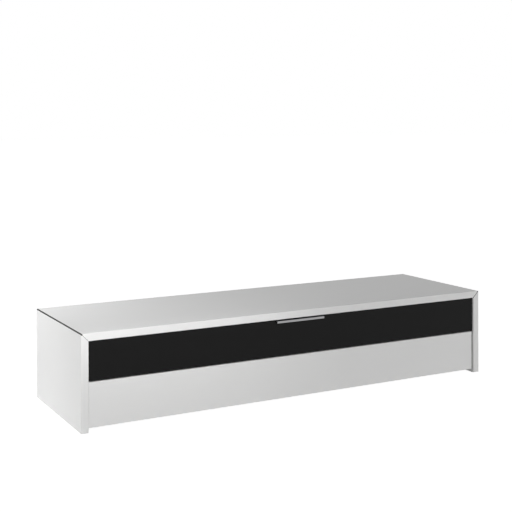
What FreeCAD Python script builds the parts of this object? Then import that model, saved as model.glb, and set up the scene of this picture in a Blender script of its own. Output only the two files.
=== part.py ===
"""TV lowboard: a mitred white frame with a black glass flap above and a push-to-open drawer below.

Millimetres. +X right, +Y into the cabinet, +Z up. The origin is at the middle of the footprint, on the floor.
"""

import FreeCAD
import Part
import Sketcher
import os
import re

# Driving sizes
SIZES = {
    "frame": {
        "width": 1800,
        "depth": 540,
        "height": 355,
        "board": 28,
        "glide_height": 3,
        "glide_radius": 9,
        "glide_inset": 22,
        "corner_groove_width": 3.6,
        "front_groove_width": 1.6,
        "mitre_groove_depth": 5,
        "glide_nail_radius": 1.2,
        "glide_nail_length": 12,
        "cut_overrun": 1,
    },
    "fronts": {
        "front_recess": 8,
        "front_gap": 3,
        "floor_gap": 14.5,
        "drawer_share": 0.534,
        "drawer_front_board": 19,
        "glass": 4,
        "flap_board": 16,
    },
    "inner boards": {
        "shelf_board": 25,
        "base_board": 19,
        "base_lift": 3,
        "push_travel": 4,
        "divider_board": 19,
        "divider_setback": 12,
        "upright_depth": 70,
        "cable_gap": 32,
        "back_board": 6,
        "back_inset": 12,
        "back_groove": 7,
        "stiffener_width": 30,
        "stiffener_drop": 14,
        "stiffener_wall": 2,
        "stiffener_end_gap": 12,
        "stiffener_screw_share": 0.6,
        "foot_radius": 20,
        "foot_inset": 70,
        "foot_stem_radius": 5,
        "foot_stem_length": 14,
        "foot_plate": 6,
    },
    "cable outlets": {
        "outlet_radius": 30,
        "grommet_wall": 2,
        "grommet_rim": 5,
        "grommet_rim_height": 2,
        "outlet_share": 0.54,
    },
    "joinery": {
        "dowel_radius": 4,
        "dowel_length": 30,
        "mitre_dowel_length": 24,
        "cam_radius": 7.5,
        "cam_height": 13,
        "cam_back": 34,
        "cam_bolt_radius": 3.5,
        "cam_bolt_reach": 11,
        "cam_bolt_height": 9,
        "dowel_bite": 12,
        "joint_inset": 60,
    },
    "handle": {
        "handle_length": 214,
        "handle_height": 8,
        "handle_projection": 11,
        "handle_lip": 1.6,
        "handle_web": 1.8,
        "handle_drop": 3,
        "handle_post_radius": 3.3,
        "handle_post_inset": 11,
        "handle_thread_depth": 5,
    },
    "flap hinges": {
        "pivot_depth": 10,
        "pivot_rise": 20,
        "pin_radius": 2.5,
        "pin_overhang": 1,
        "running_clearance": 0.05,
        "hinge_end_distance": 122,
        "knuckle_radius": 4.5,
        "arm_width": 10,
        "arm_thickness": 7,
        "cheek": 3,
        "side_clearance": 0.3,
        "leaf_width": 40,
        "leaf_height": 32,
        "leaf_start": 6,
        "leaf_thickness": 2,
        "leaf_screw_share": 0.62,
        "cheek_top": 8,
        "notch_top": 9.5,
        "notch_side": 3,
        "arm_plate_height": 18,
        "sweep_clearance": 1.2,
        "hinge_screw_spread": 13,
        "hinge_screw_radius": 1.75,
        "hinge_screw_head": 3.5,
        "hinge_screw_length": 15,
    },
    "flap stays": {
        "stay_share": 0.74,
        "stay_anchor_angle": 50,
        "stay_closed_angle": 80,
        "flap_travel": 90,
        "stay_plate": 2,
        "stay_plate_half": 15,
        "stay_screw_share": 0.7,
        "stay_pin_radius": 3,
        "stay_pin_length": 5.4,
        "stay_gap": 0.3,
        "block_half_length": 6,
        "block_half_width": 8,
        "block_lower": 5.7,
        "block_upper": 6,
        "arm_bar": 2.5,
        "arm_half_width": 5,
        "arm_slot_gap": 0.3,
        "arm_stop_length": 3.5,
        "arm_stop_rise": 1.5,
        "stud_radius": 2.5,
        "ear_margin": 5,
        "bracket_half_height": 14,
        "bracket_width": 22,
        "bracket_screw_share": 0.6,
    },
    "catches": {
        "catch_width": 50,
        "catch_depth": 16,
        "catch_height": 13,
        "strike_plate": 1.5,
        "strike_width": 40,
        "strike_height": 11,
        "strike_drop": 1,
        "catch_gap": 0.3,
    },
    "drawer": {
        "drawer_back_space": 30,
        "drawer_box_drop": 18,
        "drawer_box_lift": 11,
        "drawer_side_board": 15,
        "drawer_back_board": 15,
        "drawer_bottom_board": 8,
        "drawer_bottom_lift": 12,
        "drawer_bottom_groove": 6,
        "drawer_rail_width": 60,
        "drawer_dowel_inset": 25,
        "drawer_dowel_bite": 10,
    },
    "runners": {
        "runner_height": 45,
        "runner_space": 13,
        "runner_wall": 1.5,
        "runner_nest": 0.4,
        "runner_web_gap": 0.5,
        "outer_flange": 8,
        "middle_reach": 10.5,
        "inner_reach": 4,
        "runner_screw_share": 0.38,
        "runner_screw_radius": 2,
        "runner_screw_length": 12,
        "runner_screw_head": 1.4,
        "runner_screw_head_radius": 3.6,
    },
    "push latches": {
        "latch_length": 60,
        "latch_width": 13,
        "latch_height": 16,
        "latch_cover": 22,
        "latch_flange": 3,
        "latch_flange_rise": 9,
        "plunger_radius": 3,
        "plunger_clearance": 0.1,
        "plunger_tip_radius": 4.5,
        "plunger_tip": 3,
        "plunger_bore_depth": 46,
        "plunger_length": 36,
        "plunger_gap": 0.3,
        "plunger_travel": 4,
    },
    "small screws": {
        "screw_radius": 1.75,
        "screw_head_radius": 3.4,
        "screw_head_height": 2,
        "screw_length": 13,
        "back_screw_length": 25,
        "back_screw_inset": 30,
        "catch_screw_length": 22,
        "catch_screw_spread": 15,
        "handle_screw_radius": 2,
        "handle_head_radius": 4,
        "handle_head_height": 2.4,
    },
}

# Places that follow from the driving sizes
PLACES = {
    "front": "(handle_projection - front_recess - depth) / 2",
    "back": "front + depth",
    "half_width": "width / 2",
    "inner_half": "half_width - board",
    "inner_top": "height - board",
    "side_mid": "inner_half + board / 2",
    "top_mid": "inner_top + board / 2",
    "corner_groove_half": "corner_groove_width / 2 / sqrt(2)",
    "front_groove_half": "front_groove_width / 2 / sqrt(2)",
    "front_half": "inner_half - front_gap",
    "face": "front + front_recess",
    "drawer_low": "glide_height + floor_gap",
    "flap_top": "inner_top - front_gap",
    "drawer_top": "drawer_low + drawer_share * (flap_top - front_gap - drawer_low)",
    "flap_low": "drawer_top + front_gap",
    "flap_thickness": "glass + flap_board",
    "flap_back": "face + flap_thickness",
    "pivot_y": "face + pivot_depth",
    "pivot_z": "flap_low + pivot_rise",
    "flap_reach": "flap_thickness - pivot_depth",
    "sweep_radius": "sqrt(pow(flap_reach; 2) + pow(pivot_rise; 2))",
    "shelf_top": "pivot_z + flap_reach",
    "shelf_low": "shelf_top - shelf_board",
    "shelf_front": "pivot_y + sweep_radius + sweep_clearance",
    "back_face": "back - back_inset - back_board",
    "back_rear": "back - back_inset",
    "shelf_back": "back_face - cable_gap",
    "drawer_rear": "face + drawer_front_board",
    "base_front": "drawer_rear + push_travel",
    "base_low": "drawer_low + base_lift",
    "base_top": "base_low + base_board",
    "bay": "(2 * inner_half - 2 * divider_board) / 3",
    "divider_near": "bay / 2",
    "divider_far": "divider_near + divider_board",
    "divider_mid": "divider_near + divider_board / 2",
    "divider_front": "shelf_front + divider_setback",
    "upright_front": "back_face - upright_depth",
    "outlet_z": "shelf_top + outlet_share * (inner_top - shelf_top)",
    "outlet_x": "divider_far + bay / 2",
    "catch_distance": "outlet_x",
    "drawer_rail_distance": "divider_mid",
    "joint_front": "shelf_front + joint_inset",
    "joint_back": "back_face - joint_inset",
    "joint_mid": "(joint_front + joint_back) / 2",
    "upright_dowel": "(upright_front + shelf_back) / 2",
    "base_mid": "(base_low + base_top) / 2",
    "handle_pitch": "handle_length - 2 * handle_post_inset",
    "handle_top": "flap_top - handle_drop",
    "handle_low": "handle_top - handle_height",
    "handle_front": "face - handle_projection",
    "handle_mid": "handle_low + handle_height / 2",
    "hinge_x": "inner_half - hinge_end_distance",
    "cheek_near": "arm_width / 2 + side_clearance",
    "cheek_far": "cheek_near + cheek",
    "leaf_low": "pivot_z + leaf_start",
    "leaf_screw_z": "leaf_low + leaf_height * leaf_screw_share",
    "arm_plate_face": "shelf_front - leaf_thickness",
    "stay_circle": "stay_share * (inner_top - pivot_z)",
    "anchor_y": "pivot_y + stay_circle * cos(stay_anchor_angle * 1deg)",
    "anchor_z": "pivot_z + stay_circle * sin(stay_anchor_angle * 1deg)",
    "stud_y": "pivot_y + stay_circle * cos(stay_closed_angle * 1deg)",
    "stud_z": "pivot_z + stay_circle * sin(stay_closed_angle * 1deg)",
    "arm_drop": "90 - (stay_closed_angle + stay_anchor_angle) / 2",
    "open_reach": "2 * stay_circle * sin((stay_closed_angle + flap_travel - stay_anchor_angle) / 2 * 1deg)",
    "arm_length": "open_reach + block_half_length + stay_gap",
    "block_foot": "stay_plate + stay_gap",
    "block_split": "block_foot + block_lower",
    "block_head": "block_split + block_upper",
    "arm_layer": "block_split + block_upper / 2 - arm_bar / 2",
    "arm_layer_far": "arm_layer + arm_bar",
    "ear_near": "arm_layer_far + stay_gap",
    "ear_far": "ear_near + stay_plate",
    "strike_top": "flap_top - strike_drop",
    "catch_face": "flap_back + strike_plate + catch_gap",
    "catch_low": "inner_top - catch_height",
    "box_half": "inner_half - runner_space",
    "box_low": "base_top + drawer_box_lift",
    "box_high": "drawer_top - drawer_box_drop",
    "box_back": "upright_front - drawer_back_space",
    "box_back_front": "box_back - drawer_back_board",
    "side_inner": "box_half - drawer_side_board",
    "bottom_low": "box_low + drawer_bottom_lift",
    "bottom_top": "bottom_low + drawer_bottom_board",
    "runner_mid": "(box_low + box_high) / 2",
    "runner_front": "drawer_rear + push_travel",
    "runner_length": "box_back - runner_front",
    "latch_z": "runner_mid",
    "latch_front": "box_back + plunger_gap + plunger_tip + plunger_travel + plunger_gap",
    "latch_back": "latch_front + latch_length",
    "latch_mid": "divider_near - latch_width / 2",
    "latch_flange_front": "latch_back - latch_cover",
    "latch_screw_z": "latch_height / 2 + latch_flange_rise / 2",
    "stiffener_screw_y": "shelf_front + stiffener_width * stiffener_screw_share",
}

VALUE_NAMES = {name: "Sizes" for group in SIZES.values() for name in group}
VALUE_NAMES.update({name: "Places" for name in PLACES})

doc = FreeCAD.newDocument("TvLowboard")


def sheet_text(text):
    """Names the sheet of every value in a formula, as the document's expressions need it."""
    return re.sub(
        r"[a-z_]+",
        lambda m: f"{VALUE_NAMES[m[0]]}.{m[0]}" if m[0] in VALUE_NAMES else m[0],
        str(text),
    )


def make_sheets():
    """Fills one sheet with the driving sizes and one with the places worked out from them."""
    sizes = doc.addObject("Spreadsheet::Sheet", "Sizes")
    row = 1
    for title, group in SIZES.items():
        sizes.set(f"A{row}", title)
        row += 1
        for name, value in group.items():
            sizes.set(f"A{row}", name)
            sizes.set(f"B{row}", str(value))
            sizes.setAlias(f"B{row}", name)
            row += 1
    places = doc.addObject("Spreadsheet::Sheet", "Places")
    for row, name in enumerate(PLACES, start=1):
        places.set(f"A{row}", name)
        places.setAlias(f"B{row}", name)
    for row, formula in enumerate(PLACES.values(), start=1):
        places.set(f"B{row}", "=" + re.sub(r"Places\.", "", sheet_text(formula)))
    doc.recompute()


make_sheets()

# Axis directions, as the turn that carries +Z to them
TURNS = {
    "+X": FreeCAD.Rotation(FreeCAD.Vector(0, 1, 0), 90),
    "-X": FreeCAD.Rotation(FreeCAD.Vector(0, 1, 0), -90),
    "+Y": FreeCAD.Rotation(FreeCAD.Vector(1, 0, 0), -90),
    "-Y": FreeCAD.Rotation(FreeCAD.Vector(1, 0, 0), 90),
    "+Z": FreeCAD.Rotation(),
    "-Z": FreeCAD.Rotation(FreeCAD.Vector(1, 0, 0), 180),
}


def place(thing, at, turn=FreeCAD.Rotation()):
    """Binds an object's position to three formulas."""
    thing.Placement = FreeCAD.Placement(FreeCAD.Vector(), turn)
    for axis, formula in zip("xyz", at):
        thing.setExpression(f"Placement.Base.{axis}", sheet_text(formula))
    return thing


def box(label, across, along, up):
    """A board between a low and a high formula on each axis."""
    thing = doc.addObject("Part::Box", label)
    for side, (low, high) in zip(("Length", "Width", "Height"), (across, along, up)):
        thing.setExpression(side, sheet_text(f"({high}) - ({low})"))
    return place(thing, (across[0], along[0], up[0]))


def rod(label, radius, at, axis, length):
    """A round rod from a point along an axis."""
    thing = doc.addObject("Part::Cylinder", label)
    thing.setExpression("Radius", sheet_text(radius))
    thing.setExpression("Height", sheet_text(length))
    return place(thing, at, TURNS[axis])


def cone(label, start_radius, end_radius, at, axis, length):
    """A cone from a point along an axis."""
    thing = doc.addObject("Part::Cone", label)
    thing.setExpression("Radius1", sheet_text(start_radius))
    thing.setExpression("Radius2", sheet_text(end_radius))
    thing.setExpression("Height", sheet_text(length))
    return place(thing, at, TURNS[axis])


def fuse(label, shapes):
    """Joins shapes that touch into one solid, and keeps apart those that don't."""
    thing = doc.addObject("Part::MultiFuse", label)
    thing.Shapes = shapes
    return thing


def group(label, shapes):
    """Keeps separate solids together under one name."""
    thing = doc.addObject("Part::Compound", label)
    thing.Links = shapes
    return thing


def cut(label, base, tools):
    """Takes tools away from a base."""
    thing = doc.addObject("Part::Cut", label)
    thing.Base = base
    thing.Tool = tools[0] if len(tools) == 1 else group(f"{label}_tools", tools)
    return thing


def mirror(label, source):
    """The same piece on the other side of the cabinet."""
    thing = doc.addObject("Part::Mirroring", label)
    thing.Source = source
    thing.Normal = FreeCAD.Vector(1, 0, 0)
    return thing


def origin_plane(body, role):
    """One of a body's own origin planes."""
    return next(plane for plane in body.Origin.OriginFeatures if plane.Role == role)


def profile(label, plane, points, at, length, turn=FreeCAD.Rotation()):
    """A padded outline. On YZ it grows towards +X from `at`, on XZ towards +Y."""
    body = doc.addObject("PartDesign::Body", label)
    sketch = body.newObject("Sketcher::SketchObject", f"{label}_outline")
    sketch.AttachmentSupport = [(origin_plane(body, f"{plane}_Plane"), "")]
    sketch.MapMode = "FlatFace"
    numbers = [[float(body.evalExpression(sheet_text(formula))) for formula in point] for point in points]
    count = len(points)
    for i in range(count):
        start = FreeCAD.Vector(*numbers[i], 0)
        end = FreeCAD.Vector(*numbers[(i + 1) % count], 0)
        sketch.addGeometry(Part.LineSegment(start, end), False)
    for i in range(count):
        sketch.addConstraint(Sketcher.Constraint("Coincident", i, 2, (i + 1) % count, 1))
    for i, point in enumerate(points):
        for kind, number, formula in zip(("DistanceX", "DistanceY"), numbers[i], point):
            index = sketch.addConstraint(Sketcher.Constraint(kind, -1, 1, i, 1, number))
            sketch.setExpression(f"Constraints[{index}]", sheet_text(formula))
    pad = body.newObject("PartDesign::Pad", f"{label}_pad")
    pad.Profile = sketch
    pad.setExpression("Length", sheet_text(length))
    pad.Reversed = plane == "XZ"
    body.Tip = pad
    return place(body, at, turn)


def screws(label, kind, heads, axis):
    """Countersunk screws of one kind, each from the middle of its head along an axis."""
    head_radius, head_height, radius, length = SCREWS[kind]
    shapes = []
    for number, at in enumerate(heads, start=1):
        shapes.append(cone(f"{label}_head_{number}", head_radius, radius, at, axis, head_height))
        shapes.append(rod(f"{label}_shank_{number}", radius, at, axis, length))
    return fuse(label, shapes)


SCREWS = {
    "small": ("screw_head_radius", "screw_head_height", "screw_radius", "screw_length"),
    "back": ("screw_head_radius", "screw_head_height", "screw_radius", "back_screw_length"),
    "catch": ("screw_head_radius", "screw_head_height", "screw_radius", "catch_screw_length"),
    "hinge": ("hinge_screw_head", "leaf_thickness", "hinge_screw_radius", "hinge_screw_length"),
    "runner": ("runner_screw_head_radius", "runner_screw_head", "runner_screw_radius", "runner_screw_length"),
    "handle": (
        "handle_head_radius",
        "handle_head_height",
        "handle_screw_radius",
        "flap_thickness + handle_thread_depth",
    ),
}

nodes = []


def keep(thing):
    """Marks an object as a finished piece of the cabinet."""
    nodes.append(thing)
    return thing


def pair(label, right):
    """A group of a right-hand piece and its mirror image."""
    return group(label, [right, mirror(f"{label}_left_half", right)])


def keep_pair(name, right):
    """Keeps a right-hand piece and its mirror image as two nodes."""
    keep(right)
    keep(mirror(f"left_{name}", right))


# Cable grommets and the back panel
OUTLETS = [("outlet_x", "right"), ("0", "middle"), ("-outlet_x", "left")]


def grommet(x, name):
    """A plain ring with a rim on the inner side of the back panel."""
    tube = rod(f"{name}_grommet_tube", "outlet_radius", (x, "back_face", "outlet_z"), "+Y", "back_board")
    rim = rod(
        f"{name}_grommet_rim",
        "outlet_radius + grommet_rim",
        (x, "back_face - grommet_rim_height", "outlet_z"),
        "+Y",
        "grommet_rim_height",
    )
    bore = rod(
        f"{name}_grommet_bore",
        "outlet_radius - grommet_wall",
        (x, "back_face - grommet_rim_height - cut_overrun", "outlet_z"),
        "+Y",
        "back_board + grommet_rim_height + 2 * cut_overrun",
    )
    return cut(f"{name}_grommet", fuse(f"{name}_grommet_blank", [tube, rim]), [bore])


grommets = keep(group("cable_grommets", [grommet(x, name) for x, name in OUTLETS]))
outlet_holes = [
    rod(
        f"{name}_outlet",
        "outlet_radius",
        (x, "back_face - cut_overrun", "outlet_z"),
        "+Y",
        "back_board + 2 * cut_overrun",
    )
    for x, name in OUTLETS
]
back_blank = box(
    "back_panel_blank",
    ("-inner_half - back_groove", "inner_half + back_groove"),
    ("back_face", "back_rear"),
    ("base_low", "inner_top + back_groove"),
)
back_screw_heads = [
    (x, "back_rear", z)
    for x in ("divider_mid", "-divider_mid")
    for z in ("base_mid", "shelf_top + back_screw_inset", "inner_top - back_screw_inset")
]
back_screws = keep(screws("back_panel_screws", "back", back_screw_heads, "-Y"))
keep(cut("back_panel", back_blank, outlet_holes + [back_screws]))

# Dowels and cam fittings that join the frame and the inner boards
MITRE_TURN = FreeCAD.Rotation(FreeCAD.Vector(0, 0, 1), FreeCAD.Vector(1, 0, -1))


def mitre_dowel(number, y):
    """A short dowel square to the mitre, centred on it."""
    reach = "mitre_dowel_length / 2 / sqrt(2)"
    thing = doc.addObject("Part::Cylinder", f"mitre_dowel_{number}")
    thing.setExpression("Radius", sheet_text("dowel_radius"))
    thing.setExpression("Height", sheet_text("mitre_dowel_length"))
    return place(thing, (f"side_mid - {reach}", y, f"top_mid + {reach}"), MITRE_TURN)


mitre_right = group(
    "mitre_dowels_right",
    [mitre_dowel(n, y) for n, y in enumerate(("joint_front", "joint_mid", "joint_back"))],
)
mitre_dowels = pair("mitre_dowels", mitre_right)


def cam_housing(label, y, z, axis):
    """A round cam housing let into a board from the face at z."""
    return rod(label, "cam_radius", ("inner_half - cam_back", y, z), axis, "cam_height")


def cam_bolt(label, y, z):
    """The bolt from the side panel to the cam housing."""
    start = "inner_half - cam_back + cam_radius"
    return rod(label, "cam_bolt_radius", (start, y, z), "+X", f"inner_half + cam_bolt_reach - ({start})")


housings = []
bolts = []
end_dowels = []
for name, y in {"front": "joint_front", "back": "joint_back"}.items():
    housings.append(cam_housing(f"shelf_{name}_cam", y, "shelf_low", "+Z"))
    housings.append(cam_housing(f"base_{name}_cam", y, "base_top", "-Z"))
    bolts.append(cam_bolt(f"shelf_{name}_bolt", y, "shelf_low + cam_bolt_height"))
    bolts.append(cam_bolt(f"base_{name}_bolt", y, "base_top - cam_bolt_height"))
for board, level in {"shelf": "shelf_low + shelf_board / 2", "base": "base_mid"}.items():
    for name, y in {"front": "joint_mid - joint_inset", "back": "joint_mid + joint_inset"}.items():
        at = ("inner_half + dowel_bite - dowel_length", y, level)
        end_dowels.append(rod(f"{board}_{name}_dowel", "dowel_radius", at, "+X", "dowel_length"))
for name, y in {"front": "divider_front + joint_inset", "back": "joint_back"}.items():
    low = ("divider_mid", y, "shelf_top - dowel_bite")
    high = ("divider_mid", y, "inner_top + dowel_bite - dowel_length")
    end_dowels.append(rod(f"divider_{name}_low_dowel", "dowel_radius", low, "+Z", "dowel_length"))
    end_dowels.append(rod(f"divider_{name}_high_dowel", "dowel_radius", high, "+Z", "dowel_length"))
for name, z in {"low": "base_top - dowel_bite", "high": "shelf_low + dowel_bite - dowel_length"}.items():
    at = ("divider_mid", "upright_dowel", z)
    end_dowels.append(rod(f"upright_{name}_dowel", "dowel_radius", at, "+Z", "dowel_length"))
cam_fittings = keep(pair("cam_fittings", group("cam_fittings_right", [*housings, *bolts])))
dowels = pair("board_dowels", group("board_dowels_right", end_dowels))
keep(group("wood_dowels", [mitre_dowels, dowels]))
joinery = [cam_fittings, dowels]


# Glides under the side panels and feet under the base
def glide(number, y):
    """A nail-on glide under a side panel."""
    disc = rod(f"glide_disc_{number}", "glide_radius", ("side_mid", y, "0"), "+Z", "glide_height")
    nail = rod(
        f"glide_nail_{number}",
        "glide_nail_radius",
        ("side_mid", y, "0"),
        "+Z",
        "glide_height + glide_nail_length",
    )
    return fuse(f"glide_{number}", [disc, nail])


def foot(number, x, y):
    """A round foot on a threaded stem, screwed into the base."""
    disc = rod(f"foot_disc_{number}", "foot_radius", (x, y, "0"), "+Z", "foot_plate")
    stem = rod(f"foot_stem_{number}", "foot_stem_radius", (x, y, "0"), "+Z", "base_low + foot_stem_length")
    return fuse(f"foot_{number}", [disc, stem])


glide_places = ("front + glide_inset", "back - glide_inset")
glides = keep(
    pair("side_glides", group("side_glides_right", [glide(n, y) for n, y in enumerate(glide_places)])),
)
foot_rows = ("base_front + foot_inset", "back_face - foot_inset")
foot_places = [(x, y) for x in ("-divider_mid", "0", "divider_mid") for y in foot_rows]
feet = keep(group("base_feet", [foot(n, x, y) for n, (x, y) in enumerate(foot_places)]))


# The mitred frame
def mitre_groove(name, start, length, reach_in):
    """A narrow slot along the right-hand mitre, reaching in from the outer corner."""
    half = f"{name}_half"
    low_x = f"half_width - ({reach_in})"
    low_z = f"height - ({reach_in})"
    points = [
        (f"{low_x} + {half}", f"{low_z} - {half}"),
        (f"half_width + cut_overrun + {half}", f"height + cut_overrun - {half}"),
        (f"half_width + cut_overrun - {half}", f"height + cut_overrun + {half}"),
        (f"{low_x} - {half}", f"{low_z} + {half}"),
    ]
    return profile(name, "XZ", points, ("0", start, "0"), length)


groove_right = group(
    "mitre_grooves_right",
    [
        mitre_groove("corner_groove", "front + mitre_groove_depth", "depth", "mitre_groove_depth"),
        mitre_groove(
            "front_groove", "front - cut_overrun", "mitre_groove_depth + cut_overrun", "board + cut_overrun"
        ),
    ],
)
grooves = pair("mitre_grooves", groove_right)
TOP_OUTLINE = [
    ("-half_width", "height"),
    ("-inner_half", "inner_top"),
    ("inner_half", "inner_top"),
    ("half_width", "height"),
]
SIDE_OUTLINE = [
    ("half_width", "height"),
    ("inner_half", "inner_top"),
    ("inner_half", "glide_height"),
    ("half_width", "glide_height"),
]
top_blank = profile("top_panel_blank", "XZ", TOP_OUTLINE, ("0", "front", "0"), "depth")
side_blank = profile("side_panel_blank", "XZ", SIDE_OUTLINE, ("0", "front", "0"), "depth")

# Inner boards
shelf_blank = box(
    "shelf_blank", ("-inner_half", "inner_half"), ("shelf_front", "shelf_back"), ("shelf_low", "shelf_top")
)
base_blank = box(
    "base_blank", ("-inner_half", "inner_half"), ("base_front", "back_face"), ("base_low", "base_top")
)
divider_blank = box(
    "divider_blank",
    ("divider_near", "divider_far"),
    ("divider_front", "back_face"),
    ("shelf_top", "inner_top"),
)
upright_blank = box(
    "upright_blank",
    ("divider_near", "divider_far"),
    ("upright_front", "back_face"),
    ("base_top", "shelf_low"),
)
stiffener_outline = [
    ("shelf_front", "shelf_low"),
    ("shelf_front", "shelf_low - stiffener_drop"),
    ("shelf_front + stiffener_wall", "shelf_low - stiffener_drop"),
    ("shelf_front + stiffener_wall", "shelf_low - stiffener_wall"),
    ("shelf_front + stiffener_width", "shelf_low - stiffener_wall"),
    ("shelf_front + stiffener_width", "shelf_low"),
]
stiffener_blank = profile(
    "stiffener_blank",
    "YZ",
    stiffener_outline,
    ("stiffener_end_gap - inner_half", "0", "0"),
    "2 * (inner_half - stiffener_end_gap)",
)
stiffener_heads = [
    (x, "stiffener_screw_y", "shelf_low - stiffener_wall")
    for x in ("-hinge_x", "-divider_mid", "0", "divider_mid", "hinge_x")
]
stiffener_screws = screws("stiffener_screws", "small", stiffener_heads, "+Z")
keep(cut("shelf_stiffener", stiffener_blank, [stiffener_screws]))

# Flap hinges
HINGES = {"left": "-hinge_x", "centre": "0", "right": "hinge_x"}


def hinge_arm(name, x, pin, screw_set):
    """The fixed half: a plate on the shelf's edge and an arm that reaches into the flap."""
    half_leaf = (f"{x} - leaf_width / 2", f"{x} + leaf_width / 2")
    half_arm = (f"{x} - arm_width / 2", f"{x} + arm_width / 2")
    plate = box(
        f"{name}_arm_plate",
        half_leaf,
        ("arm_plate_face", "shelf_front"),
        ("pivot_z - arm_plate_height / 2", "pivot_z + arm_plate_height / 2"),
    )
    arm = box(
        f"{name}_arm_bar",
        half_arm,
        ("pivot_y", "arm_plate_face"),
        ("pivot_z - arm_thickness / 2", "pivot_z + arm_thickness / 2"),
    )
    barrel = rod(
        f"{name}_arm_barrel", "knuckle_radius", (half_arm[0], "pivot_y", "pivot_z"), "+X", "arm_width"
    )
    return cut(f"{name}_hinge_arm", fuse(f"{name}_arm_blank", [plate, arm, barrel]), [pin, screw_set])


def hinge_leaf(name, x, screw_set):
    """The moving half: a leaf on the flap's back with two cheeks round the arm."""
    plate = box(
        f"{name}_leaf_plate",
        (f"{x} - leaf_width / 2", f"{x} + leaf_width / 2"),
        ("flap_back", "flap_back + leaf_thickness"),
        ("leaf_low", "leaf_low + leaf_height"),
    )
    depth = ("pivot_y - knuckle_radius", "flap_back + leaf_thickness")
    rise = ("pivot_z - knuckle_radius", "pivot_z + cheek_top")
    near = box(f"{name}_cheek_a", (f"{x} - cheek_far", f"{x} - cheek_near"), depth, rise)
    far = box(f"{name}_cheek_b", (f"{x} + cheek_near", f"{x} + cheek_far"), depth, rise)
    start = (f"{x} - leaf_width / 2", "pivot_y", "pivot_z")
    bore = rod(f"{name}_leaf_bore", "pin_radius + running_clearance", start, "+X", "leaf_width")
    return cut(f"{name}_hinge_leaf", fuse(f"{name}_leaf_blank", [plate, near, far]), [bore, screw_set])


def hinge_pin(name, x):
    """The pin, held in the arm and turning in the cheeks."""
    start = (f"{x} - cheek_far - pin_overhang", "pivot_y", "pivot_z")
    return rod(f"{name}_hinge_pin", "pin_radius", start, "+X", "2 * (cheek_far + pin_overhang)")


hinge_pins = {name: hinge_pin(name, x) for name, x in HINGES.items()}
keep(group("hinge_pins", list(hinge_pins.values())))
arm_heads = [
    (f"{x} {side} hinge_screw_spread", "arm_plate_face", "pivot_z") for x in HINGES.values() for side in "+-"
]
arm_screws = screws("hinge_arm_screws", "hinge", arm_heads, "+Y")
leaf_heads = [
    (f"{x} {side} hinge_screw_spread", "flap_back + leaf_thickness", "leaf_screw_z")
    for x in HINGES.values()
    for side in "+-"
]
leaf_screws = screws("hinge_leaf_screws", "hinge", leaf_heads, "-Y")
notches = []
for name, x in HINGES.items():
    keep(hinge_arm(name, x, hinge_pins[name], arm_screws))
    keep(hinge_leaf(name, x, leaf_screws))
    notch_half = "(leaf_width / 2 + notch_side)"
    notches.append(
        box(
            f"{name}_notch",
            (f"{x} - {notch_half}", f"{x} + {notch_half}"),
            ("face + glass", "flap_back + cut_overrun"),
            ("flap_low - cut_overrun", "pivot_z + notch_top"),
        )
    )


# Flap stays: a flat arm slides through a block that turns on the side panel
def tilted(label, base, tools, at):
    """Cuts a piece modelled along +Y, then sets it down at the arm's closed slope."""
    thing = cut(label, base, tools)
    place(thing, at, FreeCAD.Rotation(FreeCAD.Vector(-1, 0, 0), 1))
    thing.setExpression("Placement.Rotation.Angle", sheet_text("arm_drop"))
    return thing


stay_base_screws = screws(
    "stay_base_screws",
    "small",
    [
        ("inner_half - stay_plate", "anchor_y", f"anchor_z {side} stay_plate_half * stay_screw_share")
        for side in "+-"
    ],
    "+X",
)
stay_plate = box(
    "stay_plate_blank",
    ("inner_half - stay_plate", "inner_half"),
    ("anchor_y - stay_plate_half", "anchor_y + stay_plate_half"),
    ("anchor_z - stay_plate_half", "anchor_z + stay_plate_half"),
)
stay_pin = rod(
    "stay_pivot",
    "stay_pin_radius",
    ("inner_half", "anchor_y", "anchor_z"),
    "-X",
    "stay_plate + stay_pin_length",
)
keep_pair(
    "stay_base",
    cut("right_stay_base", fuse("stay_base_blank", [stay_plate, stay_pin]), [stay_base_screws]),
)

block_blank = box(
    "stay_block_blank",
    ("-block_head", "-block_foot"),
    ("-block_half_length", "block_half_length"),
    ("-block_half_width", "block_half_width"),
)
block_bore = rod(
    "stay_block_bore", "stay_pin_radius + running_clearance", ("-block_split", "0", "0"), "+X", "block_split"
)
block_slot = box(
    "stay_block_slot",
    ("-arm_layer_far - arm_slot_gap", "arm_slot_gap - arm_layer"),
    ("-block_half_length - cut_overrun", "block_half_length + cut_overrun"),
    ("-arm_half_width - arm_slot_gap", "arm_half_width + arm_slot_gap"),
)
anchor = ("inner_half", "anchor_y", "anchor_z")
keep_pair("stay_swivel", tilted("right_stay_swivel", block_blank, [block_bore, block_slot], anchor))

arm_bar = box(
    "stay_arm_bar",
    ("-arm_layer_far", "-arm_layer"),
    ("0", "arm_length"),
    ("-arm_half_width", "arm_half_width"),
)
arm_eye = rod("stay_arm_eye", "arm_half_width", ("-arm_layer_far", "0", "0"), "+X", "arm_bar")
arm_stop = box(
    "stay_arm_stop",
    ("-arm_layer_far - arm_stop_rise", "arm_stop_rise - arm_layer"),
    ("arm_length", "arm_length + arm_stop_length"),
    ("-arm_half_width - arm_stop_rise", "arm_half_width + arm_stop_rise"),
)
arm_bore = rod(
    "stay_arm_bore",
    "stud_radius + running_clearance",
    ("-arm_layer_far - cut_overrun", "0", "0"),
    "+X",
    "arm_bar + 2 * cut_overrun",
)
arm_blank = fuse("stay_arm_blank", [arm_bar, arm_eye, arm_stop])
keep_pair("stay_arm", tilted("right_stay_arm", arm_blank, [arm_bore], ("inner_half", "stud_y", "stud_z")))

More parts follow.
